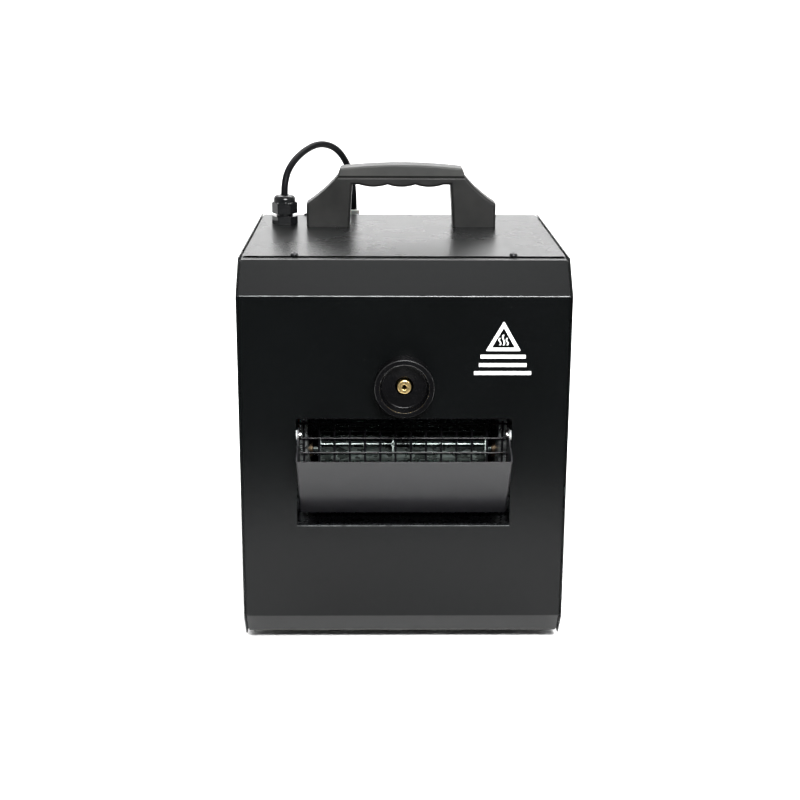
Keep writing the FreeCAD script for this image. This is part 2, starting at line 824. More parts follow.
BEHIND = f"({BACK} - sheet)"
BUTTON_SIDES = [f"(panel_middle + {n} * button_pitch)" for n in (1.5, 0.5, -0.5, -1.5)]
BUTTON_NAMES = ["button_menu", "button_down", "button_up", "button_enter"]
SOCKET_SIDES = ["(panel_middle + socket_pitch / 2)", "(panel_middle - socket_pitch / 2)"]


def about(middle, size):
    """Bounds of a size centred on a place."""
    return (f"({middle}) - ({size}) / 2", f"({middle}) + ({size}) / 2")


def make_rear_panel():
    """The wall between the cabinet and the rear bay, which carries the controls and sockets."""
    half = f"({INNER} - side_flange - 2 * seam)"
    skin = folded(
        "rear_skin",
        [
            (f"{BACK} - fold_width", "case_height"),
            (BACK, "case_height"),
            (BACK, PAN),
            (f"{BACK} - fold_width", PAN),
        ],
        f"2 * {half}",
    )
    high = (f"{PAN} + sheet + rim_room + seam", "case_height - 2 * sheet - rim_room - seam")
    wings = []
    for sign, side in (("", "right"), ("-", "left")):
        bounds = [f"{sign}({half} - 1)", f"{sign}{INNER}"]
        edge = [f"{sign}({INNER} - sheet)", f"{sign}{INNER}"]
        if sign:
            bounds.reverse()
            edge.reverse()
        wings.append(box(f"rear_wing_{side}", bounds, (BEHIND, BACK), high))
        wings.append(box(f"rear_fold_{side}", edge, (f"{BACK} - fold_width", BACK), high))
    through = (f"{BEHIND} - sheet", f"{BACK} + sheet")
    holes = [
        box("display_hole", about("panel_middle", "display_wide"), through,
            about("display_height", "display_high")),
        box("inlet_hole", about("panel_middle", "inlet_body_wide"), through,
            about("inlet_height", "inlet_body_tall")),
        box("switch_hole", about("panel_middle", "switch_wide - 2 * switch_lip"), through,
            about("switch_height", "switch_tall - 2 * switch_lip")),
        rod("fuse_hole", "fuse_radius - fuse_step", "3 * sheet",
            ("panel_middle + fuse_side", f"{BEHIND} - sheet", "inlet_height"), "+Y"),
    ]
    for n, x in enumerate(BUTTON_SIDES, 1):
        holes.append(rod(f"button_hole_{n}", "button_radius + button_room", "3 * sheet",
                         (x, f"{BEHIND} - sheet", "button_height"), "+Y"))
    for n, x in enumerate(SOCKET_SIDES, 1):
        holes.append(rod(f"dmx_hole_{n}", "socket_barrel", "3 * sheet",
                         (x, f"{BEHIND} - sheet", "socket_height"), "+Y"))
    holes += screw_holes("rear_top", TOP_SCREWS[2:], "+Z")
    for side, sign in (("left", "-"), ("right", "+")):
        holes += screw_holes(f"rear_{side}", side_screw_spots(sign), f"{sign}X")
    keep(cut("rear_panel", fuse("rear_whole", skin, *wings), *holes))


def make_control_board():
    """The circuit board behind the display and the buttons, on standoffs from the rear panel."""
    front = f"({BEHIND} - standoff)"
    board = box("control_card", about("panel_middle", "5 * button_pitch"),
                (f"{front} - board_thick", front),
                ("button_height - card_margin", "display_height + card_margin"))
    switches = []
    for n, x in enumerate(BUTTON_SIDES, 1):
        switches.append(rod(f"key_switch_{n}", "button_radius - 1", "standoff - button_tail - 0.1",
                            (x, front, "button_height"), "+Y"))
    keep(fuse("control_board", board, *switches))
    keep(box("display_window", about("panel_middle", "display_wide"), (front, f"{BACK} + display_proud"),
             about("display_height", "display_high")))
    cap = [
        (0, "-button_tail"),
        ("button_radius + button_rim", "-button_tail"),
        ("button_radius + button_rim", "-sheet - seam"),
        ("button_radius", "-sheet - seam"),
        ("button_radius", "button_proud - button_edge"),
        ("button_radius - button_edge", "button_proud", "button_edge"),
        (0, "button_proud"),
    ]
    for name, x in zip(BUTTON_NAMES, BUTTON_SIDES):
        keep(turned(name, cap, (x, BACK, "button_height"), "+Y"))


def make_sockets():
    """Two control sockets, the mains inlet, the fuse holder and the power switch."""
    sockets = []
    for n, x in enumerate(SOCKET_SIDES, 1):
        plate = box(f"dmx_plate_{n}", about(x, "socket_wide"), (BACK, f"{BACK} + socket_plate"),
                    about("socket_height", "socket_tall"))
        barrel = rod(f"dmx_barrel_{n}", "socket_barrel - fit", "barrel_deep + socket_plate",
                     (x, f"{BACK} - barrel_deep", "socket_height"), "+Y")
        bore = rod(f"dmx_bore_{n}", "socket_bore_radius", "2 * barrel_bore",
                   (x, f"{BACK} - barrel_bore", "socket_height"), "+Y")
        sockets.append(cut(f"dmx_socket_{n}", fuse(f"dmx_whole_{n}", plate, barrel), bore))
    keep(group("dmx_sockets", sockets))

    flange = box("inlet_flange", about("panel_middle", "inlet_wide"), (BACK, f"{BACK} + inlet_plate"),
                 about("inlet_height", "inlet_tall"))
    shell = box("inlet_shell", about("panel_middle", "inlet_body_wide - 2 * fit"),
                (f"{BACK} - inlet_deep", f"{BACK} + inlet_plate / 2"),
                about("inlet_height", "inlet_body_tall - 2 * fit"))
    cavity = box("inlet_cavity", about("panel_middle", "inlet_body_wide - 2 * inlet_wall"),
                 (f"{BACK} - inlet_hollow", f"{BACK} + 2 * inlet_plate"),
                 about("inlet_height", "inlet_body_tall - 2 * inlet_wall"))
    hollow = cut("inlet_hollow", fuse("inlet_whole", flange, shell), cavity)
    blades = []
    for n, (aside, way) in enumerate(((-1, "-"), (0, "+"), (1, "-")), 1):
        blades.append(box(f"inlet_blade_{n}", about(f"panel_middle + {aside} * pin_side", "pin_thick"),
                          (f"{BACK} - inlet_hollow - 1", f"{BACK} - 1"),
                          about(f"inlet_height {way} pin_step", "pin_tall")))
    keep(fuse("power_inlet", hollow, *blades))

    holder = [
        (0, "-fuse_deep"),
        ("fuse_radius - fuse_step - hole_room", "-fuse_deep"),
        ("fuse_radius - fuse_step - hole_room", 0),
        ("fuse_radius + fuse_step", 0),
        ("fuse_radius + fuse_step", "fuse_plate"),
        ("fuse_radius - fuse_step", "fuse_plate"),
        ("fuse_radius - 2 * fuse_step", "fuse_proud"),
        (0, "fuse_proud"),
    ]
    keep(turned("fuse_holder", holder, ("panel_middle + fuse_side", BACK, "inlet_height"), "+Y"))

    bezel = box("switch_bezel", about("panel_middle", "switch_wide"), (BACK, f"{BACK} + switch_plate"),
                about("switch_height", "switch_tall"))
    case = box("switch_case", about("panel_middle", "switch_wide - 2 * switch_lip - 2 * fit"),
               (f"{BACK} - switch_deep", f"{BACK} + switch_plate / 2"),
               about("switch_height", "switch_tall - 2 * switch_lip - 2 * fit"))
    well = box("switch_well", about("panel_middle", "rocker_wide + 2 * rocker_room"),
               (f"{BACK} - switch_hollow", f"{BACK} + 2 * switch_plate"),
               about("switch_height", "rocker_tall + 2 * seam"))
    pin = rod("switch_pin", "rocker_pin", "rocker_tall + 2",
              ("panel_middle", f"{BACK} - rocker_axis", "switch_height - rocker_tall / 2 - 1"))
    hollowed = cut("switch_hollowed", fuse("switch_whole", bezel, case), well)
    keep(fuse("power_switch_frame", hollowed, pin))


def make_power_rocker():
    """A rocker with two flats that meet at its middle; it rests with its right end pressed in."""
    end = "(rocker_wide / 2 - rocker_end)"
    crest = "rocker_crest + (rocker_wide / 2) * tan(rocker_tip)"
    path = [
        (f"-{end}", crest),
        (f"-{end}", "-rocker_skirt"),
        ("-rocker_keel_half", "-rocker_keel"),
        ("rocker_keel_half", "-rocker_keel"),
        (end, "-rocker_skirt"),
        (end, crest),
        (0, "rocker_crest"),
    ]
    body = prism("rocker_block", "XY", path, "rocker_tall")
    spindle = rod("rocker_bore", "rocker_pin + hole_room", "rocker_tall + 4",
                  (0, 0, "-(rocker_tall / 2 + 2)"))
    rocker = cut("power_rocker", body, spindle)
    place(rocker, ("panel_middle", f"{BACK} - rocker_axis", "switch_height"))
    bind(rocker, "Placement.Rotation.Angle", "rocker_tip")
    keep(rocker)


# ---- handle and gland on the top ----------------------------------------------------------------

def make_handle():
    """A moulded bridge with three finger lobes underneath, and a separate pad along its top."""
    outer = "handle_long / 2"
    gap = "finger_gap / 2"
    roof = "finger_high"
    lobe = f"(({gap} - leg_lean - lobe_edge) / 3)"
    lobe_arc = f"({lobe}^2 + lobe_drop^2) / (2 * lobe_drop)"
    path = [
        (f"-({outer})", 0),
        (f"-({outer})", "handle_shoulder"),
        (f"-({outer}) + shoulder_run", "handle_rise", "shoulder_sweep"),
        (f"{outer} - shoulder_run", "handle_rise"),
        (outer, "handle_shoulder", "shoulder_sweep"),
        (outer, 0),
        (gap, 0),
        (f"{gap} - leg_lean", roof),
        (f"3 * {lobe}", roof),
        (lobe, roof, f"-({lobe_arc})"),
        (f"-{lobe}", roof, f"-({lobe_arc})"),
        (f"-3 * {lobe}", roof, f"-({lobe_arc})"),
        (f"-({gap} - leg_lean)", roof),
        (f"-({gap})", 0),
    ]
    body = prism("handle_block", "XZ", path, "handle_deep")

    def is_outer(edge):
        ends = [edge.valueAt(edge.FirstParameter), edge.valueAt(edge.LastParameter)]
        flat = abs(ends[0].y - ends[1].y) < 1e-6
        return flat and not all(abs(end.z) < 1e-6 for end in ends)

    rounded(body, "handle_round", is_outer)
    place(body, (0, f"{FRONT} + handle_back", TOP))
    tapped = screw_holes("handle", HANDLE_SCREWS, "+Z", f"{HANDLE_SHANK} + 1")
    keep(cut("carry_handle", body, *tapped))

    half = f"({outer} - shoulder_run)"
    crown = f"(({half} - grip_taper)^2 + grip_crown^2) / (2 * grip_crown)"
    pad = [
        (f"-{half}", 0),
        (half, 0),
        (f"{half} - grip_taper", "grip_edge"),
        (f"-{half} + grip_taper", "grip_edge", crown),
    ]
    grip = prism("handle_grip_pad", "XZ", pad, "handle_deep")
    rounded(grip, "grip_round", lambda edge: edge.BoundBox.ZMax > value("grip_edge") / 2)
    keep(place(grip, (0, f"{FRONT} + handle_back", f"{TOP} + handle_rise")))
    screws("handle_screws", HANDLE_SCREWS, "-Z", HANDLE_SHANK)


def make_gland():
    """A cable gland: a threaded body through the top panel, a locknut, a seal and a domed cap nut."""
    at = ("-gland_side", f"{FRONT} + gland_back")
    nut_at = "gland_base + gland_neck"
    seat = hexagon("gland_seat", "gland_across", "gland_base", (*at, TOP))
    neck = rod("gland_neck_rod", "gland_neck_radius", f"{nut_at} + gland_grip", (*at, TOP))
    thread = rod("gland_thread", "gland_thread_radius", "gland_thread_long + sheet",
                 (*at, f"{TOP} - gland_thread_long - sheet"))
    bore = rod("gland_through", "gland_bore", "gland_thread_long + 30",
               (*at, f"{TOP} - gland_thread_long - 5"))
    keep(cut("gland_body", fuse("gland_solid", seat, neck, thread), bore))

    locknut = hexagon("locknut_block", "gland_across", "locknut_thick",
                      (*at, "case_height - locknut_thick"))
    tapped = rod("locknut_bore", "gland_thread_radius + fit", "locknut_thick + 2",
                 (*at, "case_height - locknut_thick - 1"))
    keep(cut("gland_locknut", locknut, tapped))

    nut = hexagon("cap_hexagon", "gland_across", "gland_nut", (*at, f"{TOP} + {nut_at}"))
    dome = turned("cap_dome", [
        (0, 0),
        ("gland_dome_radius", 0),
        ("gland_dome_radius", "gland_dome - gland_crown"),
        ("gland_dome_radius - gland_crown", "gland_dome", "gland_crown"),
        (0, "gland_dome"),
    ], (*at, f"{TOP} + {nut_at} + gland_nut"))
    hollow = turned("cap_hollow", [
        (0, -1),
        ("gland_neck_radius + fit", -1),
        ("gland_neck_radius + fit", "gland_nut - 2"),
        ("gland_bore + 1.6", "gland_nut + 1"),
        ("hose_radius + 0.6", "gland_nut + gland_dome + 1"),
        (0, "gland_nut + gland_dome + 1"),
    ], (*at, f"{TOP} + {nut_at}"))
    keep(cut("gland_cap", fuse("cap_whole", nut, dome), hollow))

    seal = [
        ("hose_radius + hose_room", 0),
        ("gland_bore + gland_seal_wall", 0),
        ("gland_bore + gland_seal_wall", "gland_seal_long"),
        ("hose_radius + hose_room", "gland_seal_long"),
    ]
    keep(turned("gland_seal", seal, (*at, f"{TOP} + {nut_at} + gland_grip")))


# ---- nozzle, outlet guard and deflector ---------------------------------------------------------

def make_nozzle():
    """A dished bezel round the brass nozzle, which screws onto the pipe from the heater."""
    at = (0, FRONT, "nozzle_height")
    bezel = [
        ("bezel_bore", "-bezel_tail"),
        ("panel_hole - hole_room", "-bezel_tail"),
        ("panel_hole - hole_room", 0),
        ("bezel_radius", 0),
        ("bezel_radius", "bezel_deep - bezel_round"),
        ("bezel_radius - bezel_round", "bezel_deep", "bezel_round"),
        ("bezel_mouth + bezel_lip", "bezel_deep"),
        ("bezel_mouth", "bezel_deep - bezel_lip", "bezel_lip"),
        ("bezel_floor_radius", "bezel_floor"),
        ("bezel_bore", "bezel_floor"),
    ]
    keep(turned("nozzle_bezel", bezel, at, "-Y"))
    nozzle = [
        ("nozzle_bore", "-nozzle_tail"),
        ("nozzle_radius - nozzle_step", "-nozzle_tail"),
        ("nozzle_radius - nozzle_step", "nozzle_stand - nozzle_collar"),
        ("nozzle_radius", "nozzle_stand - nozzle_collar"),
        ("nozzle_radius", "nozzle_stand - nozzle_edge"),
        ("nozzle_radius - nozzle_edge", "nozzle_stand", "nozzle_edge"),
        ("nozzle_bore + nozzle_edge", "nozzle_stand"),
        ("nozzle_bore", "nozzle_stand - nozzle_edge"),
    ]
    keep(turned("nozzle", nozzle, at, "-Y"))


def make_guard():
    """A welded mesh of round wire across the outlet, held between the outlet's folded sides."""
    wires = []
    half = "(outlet_width / 2)"
    low = "(outlet_low + guard_edge)"
    rows = 1 + int(value(f"({BLOWER_TOP} - {low} - wire_radius) / guard_pitch"))
    posts = 1 + int(value("(outlet_width - 2 * guard_edge) / guard_pitch"))
    for n in range(rows):
        at = (f"-{half}", GUARD, f"{low} + {n} * guard_pitch")
        wires.append(rod(f"guard_row_{n}", "wire_radius", f"2 * {half}", at, "+X"))
    for n in range(posts):
        at = (f"({n} - {posts - 1} / 2) * guard_pitch", f"{GUARD} + 1.8 * wire_radius",
              f"{low} - 2 * wire_radius")
        long = f"{rows - 1} * guard_pitch + 4 * wire_radius"
        wires.append(rod(f"guard_post_{n}", "wire_radius", long, at, "+Z"))
    keep(fuse("guard_grille", *wires))


def make_deflector():
    """A channel of sheet: a face plate with an ear at each end that hangs from a pivot. In its own
    frame the pivot is the origin, the plate stands upright and +Y points into the cabinet."""
    front = "-flap_offset"
    path = [
        (front, "-flap_below"),
        (front, "flap_above"),
        (f"{front} + flap_top", "flap_above"),
        (f"{front} * 0.45", "flap_ear * 0.55", -22),
        (0, "flap_ear", 20),
        ("flap_ear", 0, "flap_ear"),
        (0, "-flap_ear", "flap_ear"),
        (f"{front} + flap_fold", "-flap_below * 0.55", -60),
        (f"{front} + flap_fold", "-flap_below"),
    ]
    body = prism("flap_block", "YZ", path, FLAP)
    offset = value("flap_offset")

    def is_bend(edge):
        middle = edge.valueAt((edge.FirstParameter + edge.LastParameter) / 2)
        return runs_along(edge, Vector(0, 0, 1)) and abs(middle.y + offset) < 1e-4

    def is_open(face):
        front_face = faces_along(face, Vector(0, 1, 0)) and face.CenterOfMass.y < 0.1 - offset
        fold = abs(face.normalAt(0.5, 0.5).x) > 0.05
        return not (front_face or fold)

    rounded(body, "bend", is_bend)
    shelled(body, "sheet", is_open)
    bore = rod("flap_pivot_bore", "pivot_radius + pivot_room", "outlet_width",
               ("-outlet_width / 2", 0, 0), "+X")
    flap = cut("air_deflector", body, bore)
    place(flap, (0, f"{FRONT} + pivot_depth", "pivot_height"))
    flap.Placement.Rotation = Rotation(Vector(1, 0, 0), 1)
    bind(flap, "Placement.Rotation.Angle", "flap_tilt")
    keep(flap)

    crown = "(sheet + 2 * washer_play + pivot_head_high)"
    pin = [
        (0, "-flap_room - 5 * sheet"),
        ("pivot_radius", "-flap_room - 5 * sheet"),
        ("pivot_radius", "sheet + 2 * washer_play"),
        ("pivot_head", "sheet + 2 * washer_play"),
        ("pivot_head", f"{crown} - pivot_edge"),
        ("pivot_head - pivot_edge", crown, "pivot_edge"),
        (0, crown),
    ]
    washer = [
        ("pivot_radius + washer_play", "-flap_room"),
        ("pivot_head", "-flap_room"),
        ("pivot_head", "-washer_play"),
        ("pivot_radius + washer_play", "-washer_play"),
    ]
    pins, washers = [], []
    for x, facing in ((f"{FLAP} / 2", "-X"), (f"-{FLAP} / 2", "+X")):
        at = (x, f"{FRONT} + pivot_depth", "pivot_height")
        pins.append(turned(f"pivot_pin_{facing[0]}", pin, at, facing))
        washers.append(turned(f"pivot_washer_{facing[0]}", washer, at, facing))
    keep(group("deflector_pivots", pins))
    keep(group("deflector_washers", washers))


# ---- blower ------------------------------------------------------------------------------------

HALF_ROTOR = "(outlet_width / 2 - end_inset - end_room)"
END_PLATE = f"({HALF_ROTOR} + end_room)"
BLOWER_REAR = f"({AXLE} + {SCROLL} + end_tail)"


def make_blower():
    """A cross-flow blower: a caged rotor between two end plates, with a scroll behind it."""
    scroll = [
        (MOUTH, "outlet_low + sheet"),
        (AXLE, f"blower_height - {SCROLL}"),
        (f"{AXLE} + {SCROLL} * cos(scroll_end)", f"blower_height + {SCROLL} * sin(scroll_end)",
         SCROLL),
    ]
    duct = about(0, "outlet_width")
    ahead = (f"{FRONT} + sheet + seam", MOUTH)
    lip = (MOUTH, f"{MOUTH} + sheet")
    lower = fuse(
        "scroll_lower",
        strip("scroll_wrap", scroll, f"2 * {END_PLATE}", "sheet"),
        box("duct_floor", duct, ahead, ("outlet_low", "outlet_low + sheet")),
    )
    upper = fuse(
        "scroll_upper",
        box("duct_roof", duct, (ahead[0], lip[1]), ("outlet_high - sheet", "outlet_high")),
        box("duct_riser", duct, lip, (BLOWER_TOP, "outlet_high")),
        box("scroll_tongue", duct, (MOUTH, f"{AXLE} - tongue_gap"),
            (BLOWER_TOP, f"{BLOWER_TOP} + sheet")),
    )
    keep(group("blower_scroll", [lower, upper]))
    ends = []
    for side, sign, facing in (("left", "-", "-X"), ("right", "", "+X")):
        inside, outside = f"{sign}{END_PLATE}", f"{sign}({END_PLATE} + sheet)"
        edge = f"{sign}({END_PLATE} + end_lip)"
        wall = [outside, inside] if sign else [inside, outside]
        flange = [edge, inside] if sign else [inside, edge]
        plate = box(f"end_wall_{side}", wall, (MOUTH, BLOWER_REAR), (PAN, BLOWER_TOP))
        edging = box(f"end_lip_{side}", flange, (MOUTH, f"{MOUTH} + sheet"), (PAN, BLOWER_TOP))
        foot = box(f"end_foot_{side}", flange, (MOUTH, BLOWER_REAR), (PAN, f"{PAN} + sheet"))
        seat = rod(f"end_seat_{side}", "bearing_radius", "4 * sheet",
                   (f"{inside} - 2 * sheet", AXLE, "blower_height"), "+X")
        ends.append(cut(f"blower_end_{side}", fuse(f"end_whole_{side}", plate, edging, foot), seat))
    keep(group("blower_end_plates", ends))

    shell = [
        ("shaft_radius + shaft_room", "-bearing_long / 2"),
        ("bearing_radius - fit", "-bearing_long / 2"),
        ("bearing_radius - fit", "bearing_long / 2"),
        ("shaft_radius + shaft_room", "bearing_long / 2"),
    ]
    bearings = [
        turned("bearing_left", shell, (f"-({END_PLATE} + sheet / 2)", AXLE, "blower_height"), "+X"),
        turned("bearing_right", shell, (f"{END_PLATE} + sheet / 2", AXLE, "blower_height"), "+X"),
    ]
    keep(group("blower_bearings", bearings))
    motor = [
        ("shaft_radius + shaft_room", 0),
        ("motor_radius", 0),
        ("motor_radius", "motor_long - motor_edge"),
        ("motor_radius - motor_edge", "motor_long"),
        (0, "motor_long"),
        (0, "shaft_drive - bearing_long / 2 + 1"),
        ("shaft_radius + shaft_room", "shaft_drive - bearing_long / 2 + 1"),
    ]
    start = f"{END_PLATE} + sheet / 2 + bearing_long / 2"
    keep(turned("blower_motor", motor, (start, AXLE, "blower_height"), "+X"))


def make_rotor():
    """A cage of curved blades between three discs on a shaft."""
    body = doc.addObject("PartDesign::Body", "blower_rotor")
    turn = body.newObject("PartDesign::Revolution", "rotor_turn")
    core = body_sketch(body, "XZ", "core")
    half = HALF_ROTOR
    draw(core, [
        (0, f"-({END_PLATE} + shaft_tail)"),
        ("shaft_radius", f"-({END_PLATE} + shaft_tail)"),
        ("shaft_radius", f"-({half})"),
        ("rotor_radius", f"-({half})"),
        ("rotor_radius", f"-({half}) + rotor_disc"),
        ("shaft_radius", f"-({half}) + rotor_disc"),
        ("shaft_radius", "-rotor_disc_off"),
        ("rotor_radius", "-rotor_disc_off"),
        ("rotor_radius", "-rotor_disc_off + rotor_disc"),
        ("shaft_radius", "-rotor_disc_off + rotor_disc"),
        ("shaft_radius", f"{half} - rotor_disc"),
        ("rotor_radius", f"{half} - rotor_disc"),
        ("rotor_radius", half),
        ("shaft_radius", half),
        ("shaft_radius", f"{END_PLATE} + shaft_drive"),
        (0, f"{END_PLATE} + shaft_drive"),
    ])
    turn.Profile = core
    turn.ReferenceAxis = (core, ["V_Axis"])
    turn.Angle = 360
    doc.recompute()
    blade = body_sketch(body, "XY", "blade")
    draw(blade, [
        ("rotor_radius - 0.4", 0, -9),
        ("rotor_radius - 0.4", "blade_thick"),
        ("rotor_radius - blade_deep", "blade_thick - 3.5", 9),
        ("rotor_radius - blade_deep", "-3.5"),
    ])
    pad = body.newObject("PartDesign::Pad", "rotor_blade")
    pad.Profile = blade
    pad.SideType = "Symmetric"
    bind(pad, "Length", f"2 * {HALF_ROTOR} - rotor_disc")
    doc.recompute()
    ring = body.newObject("PartDesign::PolarPattern", "rotor_blades")
    ring.Originals = [pad]
    ring.Axis = (blade, ["N_Axis"])
    ring.Angle = 360
    ring.Occurrences = int(value("blade_count"))
    body.Tip = ring
    keep(place(body, (0, AXLE, "blower_height"), "+X"))


# ---- heater and pump ----------------------------------------------------------------------------

HEATER_FACE = f"({FRONT} + heater_front)"
HEATER_REAR = f"({HEATER_FACE} + heater_long)"


def make_heater():
    """The boiler: a cast block with two heating rods, wrapped in wool inside a steel shield."""
    span = (HEATER_FACE, HEATER_REAR)
    block = box("heater_casting", about(0, "2 * heater_half"), span,
                about("nozzle_height", "2 * heater_half"))
    bores, rods, stats = [], [], []
    tail = "(heater_long - rod_start + rod_tail)"
    for n, sign in enumerate("-+"):
        x = f"{sign}rod_side"
        start = (x, f"{HEATER_FACE} + rod_start", "nozzle_height - rod_drop")
        bores.append(rod(f"heater_bore_{n}", "rod_radius + fit", "heater_long", start, "+Y"))
        rods.append(turned(f"heater_rod_{n}", [
            (0, 0),
            ("rod_radius", 0),
            ("rod_radius", f"{tail} - rod_tail / 2"),
            ("rod_pin", f"{tail} - rod_tail / 2"),
            ("rod_pin", tail),
            (0, tail),
        ], start, "+Y"))
        stats.append(turned(f"thermostat_{n}", [
            (0, 0),
            ("stat_radius", 0),
            ("stat_radius", "stat_thick"),
            ("stat_stem", "stat_thick"),
            ("stat_stem", "stat_long"),
            (0, "stat_long"),
        ], (x, HEATER_REAR, "nozzle_height + stat_rise"), "+Y"))
    keep(cut("heater_block", block, *bores))
    keep(group("heater_rods", rods))
    keep(group("thermostats", stats))

    wool_half = "2 * (heater_half + wool)"
    wrap = box("wool_block", about(0, wool_half), span, about("nozzle_height", wool_half))
    core = box("wool_core", about(0, "2 * heater_half"), (f"{HEATER_FACE} - 1", f"{HEATER_REAR} + 1"),
               about("nozzle_height", "2 * heater_half"))
    keep(cut("heater_insulation", wrap, core))
    skin = box("shield_block", about(0, f"{wool_half} + 2 * sheet"), span,
               about("nozzle_height", f"{wool_half} + 2 * sheet"))
    inside = box("shield_core", about(0, wool_half), (f"{HEATER_FACE} - 1", f"{HEATER_REAR} + 1"),
                 about("nozzle_height", wool_half))
    keep(cut("heater_shield", skin, inside))

    under = "(nozzle_height - heater_half - wool - sheet)"
    brackets = []
    for name, ahead in (("front", "bracket_front"), ("rear", "bracket_front + bracket_gap")):
        near = f"{HEATER_FACE} + {ahead} - bracket_flange"
        far = f"{HEATER_FACE} + {ahead}"
        path = [(near, under), (far, under), (far, PAN), (near, PAN)]
        brackets.append(folded(f"heater_bracket_{name}", path, "bracket_width"))
    keep(group("heater_brackets", brackets))

    pipe = [
        ("nozzle_bore", 0),
        ("pipe_radius", 0),
        ("pipe_radius", "heater_front - nozzle_tail"),
        ("nozzle_bore", "heater_front - nozzle_tail"),
    ]
    keep(turned("nozzle_pipe", pipe, (0, f"{FRONT} + nozzle_tail", "nozzle_height"), "+Y"))


PUMP = f"({FRONT} + pump_back)"
PUMP_REAR = f"({PUMP} + pump_long / 2 + nipple_long)"
PUMP_FRONT = f"({PUMP} - pump_long / 2 - nipple_long)"


def make_pump():
    """A vibrating piston pump through its square coil, on two rubber mounts."""
    barrel = [
        (0, "-pump_long / 2 - nipple_long"),
        ("nipple_radius", "-pump_long / 2 - nipple_long"),
        ("nipple_radius", "-pump_long / 2"),
        ("pump_radius", "-pump_long / 2"),
        ("pump_radius", "pump_long / 2"),
        ("nipple_radius", "pump_long / 2"),
        ("nipple_radius", "pump_long / 2 + nipple_long"),
        (0, "pump_long / 2 + nipple_long"),
    ]
    keep(turned("pump_barrel", barrel, ("-pump_side", PUMP, "pump_height"), "+Y"))
    block = box("coil_block", about("-pump_side", "2 * coil_half"), about(PUMP, "coil_long"),
                about("pump_height", "2 * coil_half"))
    bore = rod("coil_bore", "pump_radius + fit", "coil_long + 4",
               ("-pump_side", f"{PUMP} - coil_long / 2 - 2", "pump_height"), "+Y")
    keep(cut("pump_coil", block, bore))
    mounts = []
    for n, sign in enumerate("-+"):
        mounts.append(rod(f"pump_mount_{n}", "mount_radius", f"pump_height - coil_half - {PAN}",
                          (f"-pump_side {sign} coil_half / 2", PUMP, PAN)))
    keep(group("pump_mounts", mounts))


# ---- boards ------------------------------------------------------------------------------------

def make_boards():
    """The power board with its transformer, and the standoffs that carry both boards."""
    level = f"({PAN} + standoff)"
    left, right = "board_left", "board_right"
    near, far = f"({FRONT} + board_front)", f"({FRONT} + board_back)"
    keep(box("power_board", (left, right), (near, far), (level, f"{level} + board_thick")))
    on_board = f"({level} + board_thick)"
    transformer = box("transformer", (f"{left} + part_inset", f"{left} + part_inset + transformer_wide"),
                      (f"{near} + part_inset", f"{near} + part_inset + transformer_deep"),
                      (on_board, f"{on_board} + transformer_high"))
    terminals = box("terminal_block", (f"{left} + part_inset", f"{right} - part_inset"),
                    (f"{far} - part_inset / 2 - terminal_deep", f"{far} - part_inset / 2"),
                    (on_board, f"{on_board} + terminal_high"))
    cans = []
    for n in range(3):
        at = (f"{right} - part_inset - capacitor_radius",
              f"{near} + part_inset + capacitor_radius + {n} * capacitor_pitch", on_board)
        cans.append(rod(f"capacitor_{n}", "capacitor_radius", "capacitor_high", at))
    keep(group("board_parts", [transformer, terminals, *cans]))
    posts = []
    for x in (f"{left} + post_inset", f"{right} - post_inset"):
        for y in (f"{near} + post_inset", f"{far} - part_inset - terminal_deep - post_inset"):
            posts.append(rod(f"board_post_{len(posts)}", "standoff_radius", "standoff", (x, y, PAN)))
    for x in ("-2.5 * button_pitch + post_inset", "2.5 * button_pitch - post_inset"):
        for z in ("button_height - card_margin + post_inset",
                  "display_height + card_margin - standoff_radius"):
            posts.append(rod(f"card_post_{len(posts)}", "standoff_radius", "standoff",
                             (f"panel_middle + {x}", f"{BEHIND} - standoff", z), "+Y"))
    keep(group("board_standoffs", posts))


# ---- fluid tank ---------------------------------------------------------------------------------

TANK_NEAR = f"({BACK} + tank_room)"
TANK_FAR = f"({REAR} - sheet - tank_room)"
TANK_LOW = f"({PAN} + sheet)"


